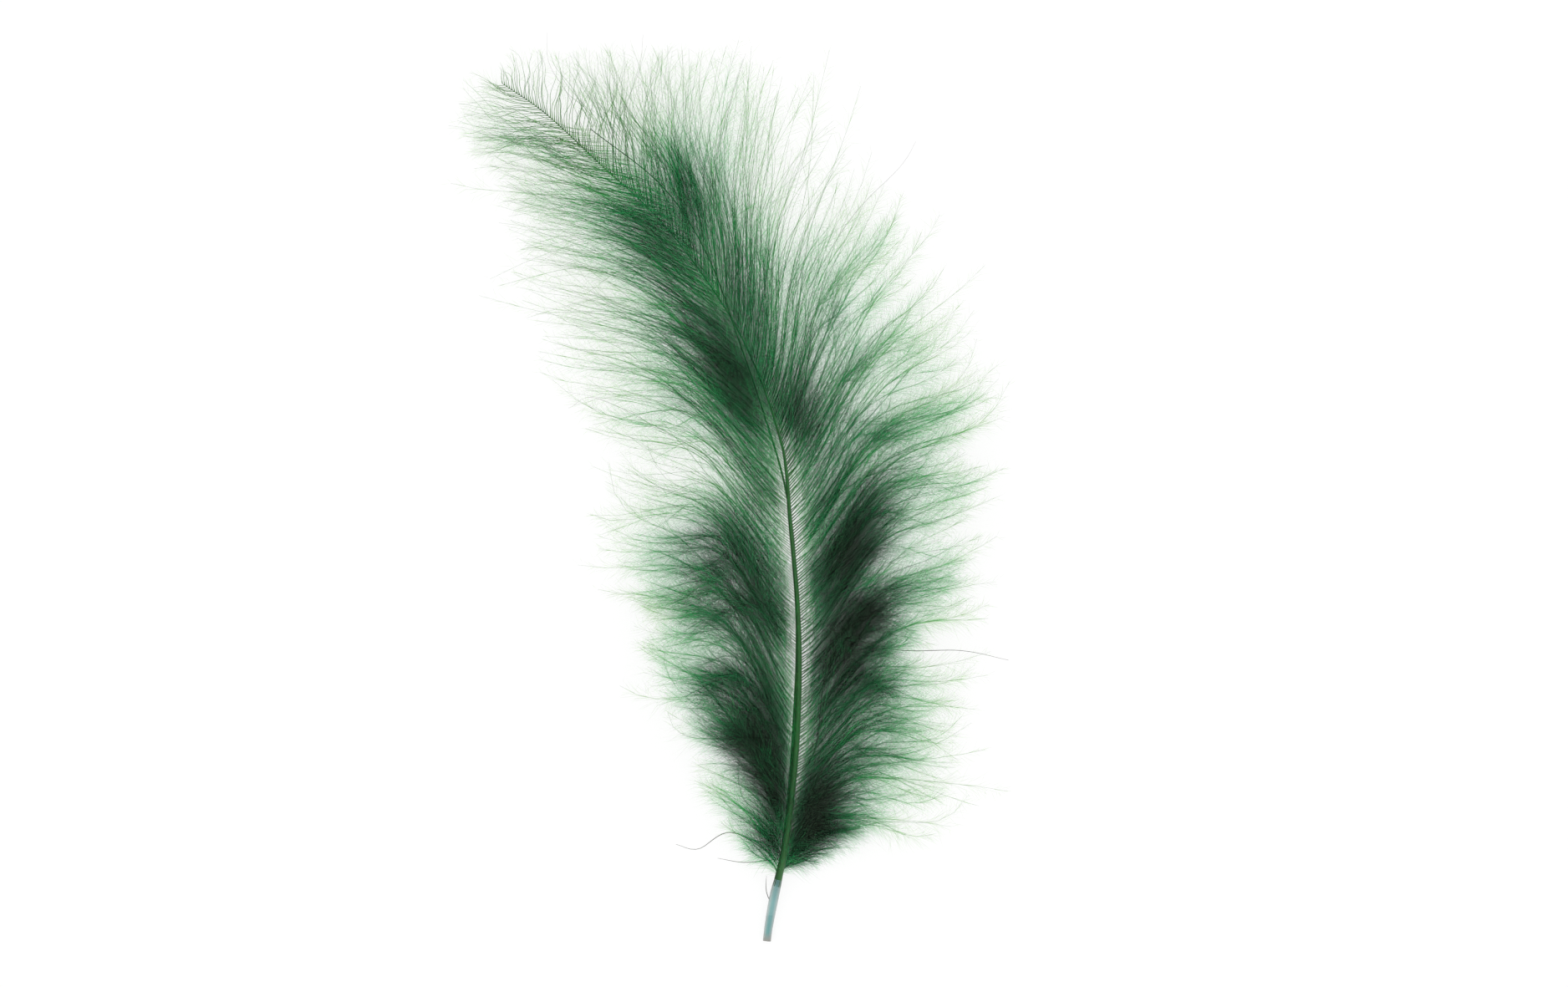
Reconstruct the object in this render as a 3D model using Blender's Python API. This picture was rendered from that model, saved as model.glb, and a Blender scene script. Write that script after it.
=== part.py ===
"""A marabou feather lying on a surface: a bare quill that turns into a long bent shaft, a second,
thinner shaft beside it, and locks of down that leave both shafts on both sides. Metres, +Z up,
the feather's length runs along Y and its tip is at +Y."""
import math
import random

import bmesh
import bpy
from mathutils import Vector

MM = 0.001

# Overall size in mm: the outermost locks reach half of each to either side of the origin
WIDTH = 87.6
LENGTH = 141.4

# Main shaft, bare quill end first: x and y of its middle, height of its middle and its radius, in mm
MAIN_SHAFT = [
    (6.3, -70.62, 0.75, 0.66),
    (6.6, -68.2, 0.80, 0.70),
    (7.5, -63.3, 1.25, 0.76),
    (8.2, -60.3, 1.60, 0.62),
    (9.4, -54.0, 2.20, 0.56),
    (10.8, -41.0, 3.20, 0.50),
    (11.3, -28.0, 3.70, 0.46),
    (11.0, -17.1, 3.90, 0.42),
    (9.9, -4.6, 4.00, 0.36),
    (9.3, 3.0, 3.95, 0.32),
    (8.4, 7.7, 3.90, 0.29),
    (5.1, 17.5, 3.70, 0.26),
    (-0.1, 27.9, 3.40, 0.23),
    (-9.6, 40.9, 2.90, 0.20),
    (-20.4, 51.2, 2.40, 0.17),
    (-28.3, 58.5, 2.10, 0.14),
    (-34.9, 63.1, 1.90, 0.10),
]

# Afterfeather's shaft, from the top of the quill: the same four values, in mm
SECOND_SHAFT = [
    (8.0, -61.2, 1.30, 0.34),
    (9.3, -50.0, 1.40, 0.30),
    (10.2, -37.0, 1.70, 0.28),
    (10.7, -24.0, 1.90, 0.26),
    (10.4, -10.0, 2.10, 0.24),
    (8.8, 0.9, 2.20, 0.22),
    (5.6, 12.4, 2.20, 0.20),
    (2.0, 22.9, 2.10, 0.18),
    (-2.9, 36.2, 1.90, 0.16),
    (-9.9, 46.9, 1.70, 0.13),
    (-21.1, 55.9, 1.60, 0.10),
]

# Locks of down. Each is: how high up the feather it leaves its shaft (y), the x, y and z of its tip,
# all in mm, and how full it is: 1 is a lock as broad as its length allows, less is a thin strand
MAIN_LEFT = [
    (61.6, -39.6, 62.4, 1.7, 0.5),
    (58.8, -43.8, 56.5, 1.3, 0.6),
    (49.3, -36.3, 49.3, 2.7, 0.9),
    (37.0, -33.4, 41.9, 2.1, 1.0),
    (27.2, -30.8, 33.1, 4.1, 1.0),
    (16.8, -27.8, 25.5, 2.5, 1.0),
    (10.3, -24.3, 20.1, 4.9, 1.0),
    (3.2, -19.1, 10.3, 3.1, 1.0),
    (-2.0, -18.6, 0.8, 4.5, 1.0),
    (-14.4, -19.9, -13.1, 2.5, 1.0),
    (-26.7, -14.4, -22.2, 4.9, 1.0),
    (-43.6, -9.0, -32.2, 2.9, 1.0),
    (-54.0, -7.3, -44.3, 4.1, 0.9),
    (-58.6, -1.4, -50.9, 2.5, 0.8),
]
MAIN_RIGHT = [
    (62.4, -34.4, 68.6, 1.7, 0.5),
    (59.6, -29.8, 67.9, 1.9, 0.8),
    (51.9, -17.4, 67.1, 3.5, 1.0),
    (43.2, -5.1, 66.9, 1.7, 1.0),
    (34.4, 4.7, 61.4, 4.1, 1.0),
    (28.5, 17.0, 59.3, 2.7, 0.9),
    (20.7, 22.5, 50.0, 4.9, 1.0),
    (11.0, 35.2, 35.7, 2.9, 1.0),
    (5.1, 36.1, 24.2, 5.1, 1.0),
    (1.9, 42.0, 17.7, 2.9, 0.9),
    (-7.2, 41.5, 7.1, 4.9, 1.0),
    (-15.0, 40.7, -3.3, 2.9, 1.0),
    (-28.0, 37.8, -15.0, 4.9, 1.0),
    (-40.4, 38.9, -28.7, 2.9, 1.0),
    (-48.8, 38.9, -45.6, 4.3, 0.9),
    (-55.3, 27.4, -50.8, 2.7, 0.9),
    (-59.9, 19.6, -55.6, 2.1, 0.8),
]
SECOND_LEFT = [
    (54.5, -37.8, 53.6, 1.2, 0.8),
    (43.5, -34.5, 45.4, 1.2, 1.0),
    (32.4, -32.1, 38.3, 0.2, 1.0),
    (22.7, -29.8, 30.5, 1.2, 1.0),
    (13.6, -26.1, 22.9, 0.2, 1.0),
    (5.8, -24.2, 12.3, 1.2, 1.0),
    (0.6, -17.7, 5.1, 0.2, 1.0),
    (-8.5, -17.4, -7.2, 1.2, 1.0),
    (-19.6, -15.5, -16.6, 0.2, 1.0),
    (-33.2, -13.1, -27.0, 1.2, 1.0),
    (-48.8, -5.3, -37.4, 0.2, 1.0),
    (-56.6, -4.0, -47.3, 0.8, 0.9),
    (-60.0, -7.9, -55.6, 0.4, 0.4),
]
SECOND_RIGHT = [
    (55.0, -23.3, 67.9, 1.2, 0.9),
    (47.4, -12.9, 70.7, 0.6, 0.95),
    (38.0, 3.4, 65.8, 0.8, 1.0),
    (28.5, 11.2, 53.9, 0.4, 1.0),
    (14.9, 28.5, 43.5, 1.2, 1.0),
    (9.7, 31.6, 32.0, 0.4, 1.0),
    (-4.0, 39.4, 13.3, 1.2, 1.0),
    (-20.0, 37.8, -9.2, 0.2, 1.0),
    (-33.9, 36.5, -22.8, 1.2, 1.0),
    (-35.8, 43.8, -26.5, 1.0, 0.3),
    (-43.6, 39.4, -37.1, 0.2, 1.0),
    (-54.0, 38.1, -53.0, 1.0, 0.7),
    (-57.9, 20.9, -52.1, 0.4, 0.9),
    (-60.8, 15.7, -58.2, 0.5, 0.6),
]

# Short tufts that stand on top of the long locks beside the shaft: the same values
TUFTS_LEFT = [
    (26.0, -9.0, 33.0, 6.9, 1.0),
    (8.0, -5.0, 16.0, 7.1, 1.0),
    (-18.0, -7.2, -10.0, 8.3, 1.2),
    (-44.0, -4.6, -33.0, 6.9, 1.1),
]
TUFTS_RIGHT = [
    (2.0, 15.4, 20.0, 7.5, 0.9),
    (-14.0, 25.0, 2.0, 8.3, 1.1),
    (-36.0, 27.6, -19.4, 8.7, 1.1),
    (-52.0, 25.4, -42.0, 7.1, 1.1),
]

LEAST_BREADTH = 2.0      # mm of a full lock's greatest width that doesn't depend on its reach
LOCK_BREADTH = 0.36      # what its width gains for each mm that it reaches from root to tip
LOCK_BODY = 0.080        # the same for its thickness
BROADEST = 13.0          # mm
THICKEST = 2.2           # mm
# How a lock's width and thickness grow and shrink along it, as shares of its greatest values
LOCK_PROFILE = [(0.0, 0.58, 0.25), (0.16, 0.88, 0.60), (0.36, 1.0, 1.0), (0.60, 0.88, 0.95), (0.80, 0.52, 0.60)]
ROOT_DROP = 0.8          # how far below its shaft's middle a lock's root sits, in shaft radii
LOCK_BOW = 0.40          # how far a lock keeps the direction in which it leaves the shaft
LOCK_LIFT = 0.4          # mm, the most that a lock's middle stands above or below its two ends' mean
LEAVING_ANGLE = 50.0     # degrees between the shaft and a lock that leaves it
BASE_ANGLE = 26.0        # the same beside the quill, where the locks lie closer to the shaft
BASE_REACH = 18.0        # mm of shaft over which the angle grows from one to the other
LOCK_SIDES = 6
SHAFT_SIDES = 8
SHAFT_STEP = 5.5         # mm of shaft between two rings
SURFACE_DEPTH = 20.0     # mm, of the block that stands for the surface and flattens what would sink into it
CHANCE_SEED = 9


def smooth_path(rows, step):
    """Points with a radius along a curve through the rows, about one step apart."""
    rows = [Vector(row) for row in rows]
    path = []
    for i in range(len(rows) - 1):
        before = rows[max(i - 1, 0)]
        start = rows[i]
        end = rows[i + 1]
        after = rows[min(i + 2, len(rows) - 1)]
        pieces = max(1, round((end.to_3d() - start.to_3d()).length / step))
        for k in range(pieces):
            t = k / pieces
            tangents = (end - before) * 0.5 * (t ** 3 - 2 * t ** 2 + t) + (after - start) * 0.5 * (t ** 3 - t ** 2)
            path.append(start * (2 * t ** 3 - 3 * t ** 2 + 1) + end * (3 * t ** 2 - 2 * t ** 3) + tangents)
    path.append(rows[-1])
    return path


def point_at(path, y):
    """Where a path passes a height y of the feather, with its radius, and its direction there."""
    for start, end in zip(path, path[1:]):
        if start.y <= y <= end.y:
            return start.lerp(end, (y - start.y) / (end.y - start.y)), (end - start).to_3d().normalized()
    return path[-1].copy(), (path[-1] - path[-2]).to_3d().normalized()


def add_rings(mesh, rings):
    """A closed tube through rings of points, its two ends filled, and a point where a ring has one point."""
    rows = [[mesh.verts.new(point * MM) for point in ring] for ring in rings]
    for low, high in zip(rows, rows[1:]):
        count = len(low)
        for i in range(count):
            j = (i + 1) % count
            if len(high) == 1:
                mesh.faces.new((low[i], low[j], high[0]))
            else:
                mesh.faces.new((low[i], low[j], high[j], high[i]))
    mesh.faces.new(list(reversed(rows[0])))
    if len(rows[-1]) > 1:
        mesh.faces.new(rows[-1])


def shaft_solid(name, path):
    """A round tapered shaft along a path."""
    mesh = bmesh.new()
    rings = []
    for i, row in enumerate(path):
        ahead = (path[min(i + 1, len(path) - 1)] - path[max(i - 1, 0)]).to_3d().normalized()
        across = Vector((ahead.y, -ahead.x, 0.0)).normalized()
        up = across.cross(ahead).normalized()
        ring = []
        for k in range(SHAFT_SIDES):
            turn = math.tau * (k + 0.5) / SHAFT_SIDES
            ring.append(row.to_3d() + (across * math.cos(turn) + up * math.sin(turn)) * row.w)
        rings.append(ring)
    add_rings(mesh, rings)
    return finished(name, mesh)


def lock_solid(name, path, side, row, rng):
    """One lock of down: a flat spindle that leaves the shaft forward and bends out to its pointed tip."""
    y, tip_x, tip_y, tip_z, fullness = row
    place, forward = point_at(path, y)
    root = place.to_3d() - Vector((0, 0, ROOT_DROP * place.w))
    tip = Vector((tip_x, tip_y, tip_z))
    reach = (tip - root).length
    width = min(BROADEST, LEAST_BREADTH + LOCK_BREADTH * reach) * fullness
    thickness = min(THICKEST, LOCK_BODY * reach) * fullness
    above_base = min(1.0, (y - SECOND_SHAFT[0][1]) / BASE_REACH)
    angle = math.radians(BASE_ANGLE + (LEAVING_ANGLE - BASE_ANGLE) * above_base) * side
    leaving = Vector((forward.x * math.cos(angle) - forward.y * math.sin(angle),
                      forward.x * math.sin(angle) + forward.y * math.cos(angle), 0.0))
    control = root + leaving * reach * LOCK_BOW
    control.z = (root.z + tip.z) / 2 + rng.uniform(-LOCK_LIFT, LOCK_LIFT)
    mesh = bmesh.new()
    rings = []
    for share, wide, thick in LOCK_PROFILE:
        middle = root * (1 - share) ** 2 + control * 2 * share * (1 - share) + tip * share ** 2
        ahead = ((control - root) * (1 - share) + (tip - control) * share).normalized()
        across = Vector((ahead.y, -ahead.x, 0.0)).normalized()
        up = across.cross(ahead).normalized()
        ring = []
        for k in range(LOCK_SIDES):
            turn = math.tau * k / LOCK_SIDES
            offset = across * math.cos(turn) * width / 2 * wide + up * math.sin(turn) * thickness / 2 * thick
            ring.append(middle + offset)
        rings.append(ring)
    rings.append([tip])
    add_rings(mesh, rings)
    return finished(name, mesh)


def finished(name, mesh):
    """An object in the scene from a bmesh, its faces pointing out."""
    bmesh.ops.recalc_face_normals(mesh, faces=mesh.faces)
    data = bpy.data.meshes.new(name)
    mesh.to_mesh(data)
    mesh.free()
    piece = bpy.data.objects.new(name, data)
    bpy.context.collection.objects.link(piece)
    return piece


def keep_outer_skin(piece):
    """Fills the hollows that the locks close in between them, by keeping only the outer skin. A skin ends
    where more than two faces meet at an edge, as where a hollow touches the outside."""
    mesh = bmesh.new()
    mesh.from_mesh(piece.data)
    left = set(mesh.faces)
    skins = []
    while left:
        skin = [left.pop()]
        for face in skin:
            for edge in face.edges:
                if len(edge.link_faces) != 2:
                    continue
                for other in edge.link_faces:
                    if other in left:
                        left.discard(other)
                        skin.append(other)
        skins.append(skin)
    outer = max(skins, key=len)
    inner = [face for skin in skins if skin is not outer for face in skin]
    bmesh.ops.delete(mesh, geom=inner, context="FACES")
    mesh.to_mesh(piece.data)
    mesh.free()


for thing in list(bpy.data.objects):
    bpy.data.objects.remove(thing)

chance = random.Random(CHANCE_SEED)
main_path = smooth_path(MAIN_SHAFT, SHAFT_STEP)
second_path = smooth_path(SECOND_SHAFT, SHAFT_STEP)

feather = shaft_solid("feather", main_path)
grown = [shaft_solid("second_shaft", second_path)]
groups = [
    (second_path, 1, SECOND_LEFT), (second_path, -1, SECOND_RIGHT),
    (main_path, 1, MAIN_LEFT), (main_path, -1, MAIN_RIGHT),
    (main_path, 1, TUFTS_LEFT), (main_path, -1, TUFTS_RIGHT),
]
for path, side, rows in groups:
    for row in rows:
        grown.append(lock_solid("lock", path, side, row, chance))
with bpy.context.temp_override(active_object=feather, selected_editable_objects=[feather] + grown):
    bpy.ops.object.join()

# The surface that the feather lies on flattens the lowest locks. The same cut fuses the locks and
# the shafts where they run into each other.
bpy.ops.mesh.primitive_cube_add(size=1)
surface = bpy.context.active_object
surface.scale = (2 * WIDTH * MM, 2 * LENGTH * MM, SURFACE_DEPTH * MM)
surface.location = (0, 0, -SURFACE_DEPTH / 2 * MM)
bpy.ops.object.transform_apply(location=False, rotation=False, scale=True)
cut = feather.modifiers.new("lay_on_surface", "BOOLEAN")
cut.operation = "DIFFERENCE"
cut.solver = "EXACT"
cut.use_self = True
cut.object = surface
bpy.context.view_layer.objects.active = feather
bpy.ops.object.modifier_apply(modifier=cut.name)
bpy.data.objects.remove(surface)
keep_outer_skin(feather)

down = bpy.data.materials.new("green_down")
down.use_nodes = True
shader = down.node_tree.nodes["Principled BSDF"]
shader.inputs["Base Color"].default_value = (0.05, 0.16, 0.09, 1)
shader.inputs["Roughness"].default_value = 0.75
shader.inputs["Metallic"].default_value = 0.0
feather.data.materials.clear()
feather.data.materials.append(down)
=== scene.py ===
import bpy
import numpy as np
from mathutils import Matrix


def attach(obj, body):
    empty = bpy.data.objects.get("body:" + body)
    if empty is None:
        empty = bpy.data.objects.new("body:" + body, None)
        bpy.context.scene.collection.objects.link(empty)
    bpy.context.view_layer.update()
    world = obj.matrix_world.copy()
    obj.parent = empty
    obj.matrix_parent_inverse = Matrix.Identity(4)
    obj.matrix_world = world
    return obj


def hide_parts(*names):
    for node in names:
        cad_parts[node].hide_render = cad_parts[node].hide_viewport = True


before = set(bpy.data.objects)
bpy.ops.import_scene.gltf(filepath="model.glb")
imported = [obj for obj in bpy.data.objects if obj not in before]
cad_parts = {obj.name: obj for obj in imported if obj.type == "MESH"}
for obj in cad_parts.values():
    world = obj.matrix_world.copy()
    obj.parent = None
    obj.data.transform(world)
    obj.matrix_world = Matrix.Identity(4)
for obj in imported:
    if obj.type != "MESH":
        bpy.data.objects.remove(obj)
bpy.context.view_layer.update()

# Quill
# The bare end of the feather is a thin hollow tube of clear horn, cut off square. It is pale
# blue-green with whitish edges, and its top, where it went into the skin, is mottled grey.

MM = 0.001
# Middle (x, y, z) and radius along the quill and the main shaft, in mm
SHAFT_ROWS = [
    (6.3, -70.62, 0.75, 0.62), (6.6, -68.2, 0.80, 0.66), (7.5, -63.3, 1.25, 0.74),
    (8.2, -60.3, 1.60, 0.60), (9.4, -54.0, 2.20, 0.54), (10.8, -41.0, 3.20, 0.50),
    (11.3, -28.0, 3.70, 0.46), (11.0, -17.1, 3.90, 0.39), (9.9, -4.6, 4.00, 0.32),
    (9.3, 3.0, 3.95, 0.26), (8.4, 7.7, 3.90, 0.21), (5.1, 17.5, 3.70, 0.16),
    (-0.1, 27.9, 3.40, 0.13), (-9.6, 40.9, 2.90, 0.10), (-20.4, 51.2, 2.40, 0.075),
    (-28.3, 58.5, 2.10, 0.06), (-34.9, 63.1, 1.90, 0.04),
]
SHAFT_STEP = 1.1        # mm between two rings of points
QUILL_TOP = -61.2       # height y at which the quill ends and the green shaft begins, in mm
OVERLAP = 1.2           # mm that each of them runs on into the other
WALL = 0.12             # mm, of the quill's horn at the cut
HOLLOW = (0.5, 4.0, 0.1)        # mm, from the rim of the cut to the bottom of the hollow
DRY_END = (-69.2, -70.5)        # heights y between which the horn turns dry and grey, in mm
MOTTLED = (-64.4, -60.7)        # the same for the speckles at the quill's top


def smooth_route(rows, step):
    """Points a step apart along a smooth curve through the rows, with every further value of a row."""
    rows = np.array(rows, float)
    padded = np.vstack([2 * rows[0] - rows[1], rows, 2 * rows[-1] - rows[-2]])
    share = np.linspace(0, 1, 24, endpoint=False)[:, None]
    parts = []
    for a, b, c, d in zip(padded, padded[1:], padded[2:], padded[3:]):
        parts.append(0.5 * (2 * b + (c - a) * share + (2 * a - 5 * b + 4 * c - d) * share ** 2
                            + (3 * b - a - 3 * c + d) * share ** 3))
    fine = np.vstack(parts + [rows[-1:]])
    along = np.concatenate([[0], np.cumsum(np.linalg.norm(np.diff(fine[:, :3], axis=0), axis=1))])
    even = np.linspace(0, along[-1], max(2, int(round(along[-1] / step)) + 1))
    return np.column_stack([np.interp(even, along, fine[:, k]) for k in range(fine.shape[1])])


def grow_rod(name, rows, corners):
    """A round rod along a curve, as thick at each point as the row's last value says.

    Its points keep how far across the rod they are, from 0 on the left to 1 on the right.
    """
    bpy.ops.curve.primitive_nurbs_path_add()
    rod = bpy.context.active_object
    rod.name = name
    rod.data.splines.clear()
    line = rod.data.splines.new("POLY")
    line.points.add(len(rows) - 1)
    for point, row in zip(line.points, rows):
        point.co = (row[0] * MM, row[1] * MM, row[2] * MM, 1)
        point.radius = row[3]
    rod.data.twist_mode = "Z_UP"
    rod.data.bevel_depth = MM
    rod.data.bevel_resolution = corners // 2 - 2
    rod.data.use_fill_caps = True
    bpy.ops.object.convert(target="MESH")
    bpy.ops.object.mode_set(mode="EDIT")
    bpy.ops.mesh.select_all(action="SELECT")
    bpy.ops.mesh.remove_doubles(threshold=0.000001)
    bpy.ops.mesh.normals_make_consistent(inside=False)
    bpy.ops.object.mode_set(mode="OBJECT")
    bpy.ops.object.transform_apply(location=True, rotation=True, scale=True)
    bpy.ops.object.shade_smooth()
    heading = np.gradient(rows[:, :2], axis=0)
    heading /= np.linalg.norm(heading, axis=1)[:, None]
    values = []
    for vertex in rod.data.vertices:
        off = np.array(vertex.co[:2]) / MM - rows[:, :2]
        near = np.argmin((off ** 2).sum(1))
        sideways = off[near, 0] * heading[near, 1] - off[near, 1] * heading[near, 0]
        values.append(0.5 + 0.5 * sideways / rows[near, 3])
    rod.data.attributes.new("across", "FLOAT", "POINT").data.foreach_set("value", values)
    return rod


def plain_finish(name, colour, roughness):
    """A material with one colour, its shader ready to be changed further."""
    finish = bpy.data.materials.new(name)
    finish.use_nodes = True
    shader = finish.node_tree.nodes["Principled BSDF"]
    shader.inputs["Base Color"].default_value = (*colour, 1)
    shader.inputs["Roughness"].default_value = roughness
    return finish


def banded(name, attribute, stops, roughness, alpha=1.0):
    """A material whose colour runs through stops by a value that the mesh keeps."""
    finish = plain_finish(name, stops[0][1], roughness)
    nodes, links = finish.node_tree.nodes, finish.node_tree.links
    nodes["Principled BSDF"].inputs["Specular IOR Level"].default_value = 0.15
    nodes["Principled BSDF"].inputs["Alpha"].default_value = alpha
    value = nodes.new("ShaderNodeAttribute")
    value.attribute_name = attribute
    ramp = nodes.new("ShaderNodeValToRGB")
    ramp.name = "bands"
    ramp.color_ramp.elements[0].position = stops[0][0]
    ramp.color_ramp.elements[0].color = (*stops[0][1], 1)
    ramp.color_ramp.elements[1].position = stops[-1][0]
    ramp.color_ramp.elements[1].color = (*stops[-1][1], 1)
    for place, colour in stops[1:-1]:
        ramp.color_ramp.elements.new(place).color = (*colour, 1)
    links.new(value.outputs["Fac"], ramp.inputs["Fac"])
    links.new(ramp.outputs["Color"], nodes["Principled BSDF"].inputs["Base Color"])
    return finish


smooth_rows = smooth_route(SHAFT_ROWS, SHAFT_STEP)
quill = grow_rod("quill", smooth_rows[smooth_rows[:, 1] < QUILL_TOP + OVERLAP], 16)
bpy.ops.object.mode_set(mode="EDIT")
bpy.ops.mesh.select_all(action="DESELECT")
bpy.ops.object.mode_set(mode="OBJECT")
for face in quill.data.polygons:
    face.select = face.center[1] < (SHAFT_ROWS[0][1] + 0.1) * MM
bpy.ops.object.mode_set(mode="EDIT")
bpy.ops.mesh.select_mode(type="FACE")
bpy.ops.mesh.inset(thickness=WALL * MM)
bpy.ops.mesh.extrude_region_move(TRANSFORM_OT_translate={"value": tuple(side * MM for side in HOLLOW)})
bpy.ops.object.mode_set(mode="OBJECT")

clear_horn = banded("clear_horn", "across", [
    (0.0, (0.50, 0.54, 0.53)), (0.15, (0.42, 0.54, 0.53)), (0.35, (0.22, 0.44, 0.43)),
    (0.6, (0.19, 0.41, 0.41)), (0.85, (0.36, 0.49, 0.48)), (1.0, (0.50, 0.54, 0.53))], 0.35, 0.75)
nodes, links = clear_horn.node_tree.nodes, clear_horn.node_tree.links
spots = nodes.new("ShaderNodeMix")
spots.data_type = "RGBA"
spots.inputs["B"].default_value = (0.07, 0.11, 0.10, 1)
place = nodes.new("ShaderNodeTexCoord")
split = nodes.new("ShaderNodeSeparateXYZ")
rise = nodes.new("ShaderNodeMapRange")
rise.inputs["From Min"].default_value = MOTTLED[0] * MM
rise.inputs["From Max"].default_value = MOTTLED[1] * MM
speckle = nodes.new("ShaderNodeTexNoise")
speckle.inputs["Scale"].default_value = 1500
both = nodes.new("ShaderNodeMath")
both.operation = "MULTIPLY"
links.new(place.outputs["Object"], split.inputs[0])
links.new(place.outputs["Object"], speckle.inputs["Vector"])
links.new(split.outputs["Y"], rise.inputs["Value"])
links.new(rise.outputs[0], both.inputs[0])
links.new(speckle.outputs["Fac"], both.inputs[1])
links.new(both.outputs[0], spots.inputs["Factor"])
cut = nodes.new("ShaderNodeMapRange")
cut.inputs["From Min"].default_value = DRY_END[0] * MM
cut.inputs["From Max"].default_value = DRY_END[1] * MM
dry = nodes.new("ShaderNodeMix")
dry.data_type = "RGBA"
dry.inputs["B"].default_value = (0.40, 0.40, 0.37, 1)
links.new(split.outputs["Y"], cut.inputs["Value"])
links.new(cut.outputs[0], dry.inputs["Factor"])
links.new(nodes["bands"].outputs["Color"], dry.inputs["A"])
links.new(dry.outputs["Result"], spots.inputs["A"])
links.new(spots.outputs["Result"], nodes["Principled BSDF"].inputs["Base Color"])
quill.data.materials.append(clear_horn)
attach(quill, "root")
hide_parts("feather")

# Main shaft
# The quill turns without a seam into a solid shaft of horn, dyed green, with painted shade along its left
# edge and a painted highlight along its right one. It bends to the left in its upper half, and thins to a
# hair at the tip.

main_shaft = grow_rod("main_shaft", smooth_rows[smooth_rows[:, 1] > QUILL_TOP - OVERLAP], 12)
# Across the shaft the colour runs from painted shade on the left edge to a painted highlight on the right.
green_horn_painted_light = banded("green_horn_painted_light", "across", [
    (0.0, (0.009, 0.038, 0.009)), (0.25, (0.015, 0.07, 0.018)), (0.5, (0.03, 0.11, 0.032)),
    (0.75, (0.042, 0.13, 0.043)), (0.9, (0.065, 0.16, 0.065)), (1.0, (0.18, 0.27, 0.18))], 0.4)
main_shaft.data.materials.append(green_horn_painted_light)
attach(main_shaft, "root")
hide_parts("feather")

# Second shaft
# The afterfeather's shaft is a thinner, darker horn rod. It springs from the top of the quill, runs
# under the main shaft's left edge, and leaves it to the right for the last third of the feather.

# Middle (x, y, z) and radius along it, in mm
SECOND_ROWS = [
    (8.1, -61.2, 1.30, 0.30), (9.5, -50.0, 1.40, 0.26), (10.5, -37.0, 1.70, 0.24),
    (11.0, -24.0, 1.90, 0.22), (10.6, -10.0, 2.30, 0.19), (9.0, 0.9, 2.90, 0.16),
    (5.6, 12.4, 3.60, 0.14), (2.0, 22.9, 4.20, 0.12), (-2.9, 36.2, 4.30, 0.10),
    (-9.9, 46.9, 3.90, 0.09), (-21.1, 55.9, 3.30, 0.06),
]
second_shaft = grow_rod("second_shaft", smooth_route(SECOND_ROWS, SHAFT_STEP), 10)
# Across this rod, too, the colour runs from painted shade on the left to a painted highlight on the right.
dark_horn_painted_light = banded("dark_horn_painted_light", "across", [
    (0.0, (0.012, 0.04, 0.015)), (0.5, (0.015, 0.055, 0.02)), (1.0, (0.03, 0.09, 0.035))], 0.45)
second_shaft.data.materials.append(dark_horn_painted_light)
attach(second_shaft, "root")
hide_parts("feather")

# Down of both shafts
# Each shaft carries a row of barbs on either side, fine horn threads that stand 0.46 mm apart. Their
# roots are bare; further out each barb carries two rows of barbules, and neighbours cling in locks.

BARB_SPACING = 0.46     # mm of shaft between two barbs
# Where each lock leaves its shaft (y), the x, y and z of its tip, in mm, and the way its tip points, in
# degrees from +X towards +Y
LEFT_LOCKS = [
    (62.5, -38.6, 63.2, 1.7, 178), (60.4, -40.7, 61.9, 1.5, 178), (57.8, -42.8, 59.3, 1.4, 176),
    (55.4, -44.3, 56.5, 1.3, 174), (51.3, -38.2, 54.5, 1.8, 176), (45.4, -36.0, 50.6, 2.4, 172),
    (38.3, -35.2, 47.1, 2.6, 168), (29.6, -33.7, 42.7, 2.2, 166), (21.9, -31.7, 37.5, 3.4, 166),
    (12.7, -29.8, 30.5, 2.6, 168), (5.8, -27.7, 25.0, 4.4, 172), (-1.0, -24.3, 19.8, 3.0, 165),
    (-8.5, -22.8, 12.5, 3.4, 158), (-13.1, -19.1, 9.9, 2.6, 154), (-16.7, -17.4, 5.1, 4.2, 150),
    (-21.5, -18.7, 0.8, 3.0, 152), (-24.0, -17.0, -2.7, 2.2, 155), (-29.7, -19.1, -8.5, 3.8, 162),
    (-33.2, -19.9, -13.2, 2.6, 166), (-37.2, -15.5, -16.8, 4.6, 158), (-45.2, -12.9, -26.7, 3.2, 150),
    (-49.5, -9.0, -32.2, 4.0, 145), (-53.4, -5.3, -37.6, 2.8, 142), (-56.6, -7.0, -44.3, 3.6, 142),
    (-58.7, -3.8, -47.0, 2.4, 142), (-60.4, -1.2, -50.9, 2.0, 145),
]
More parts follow.
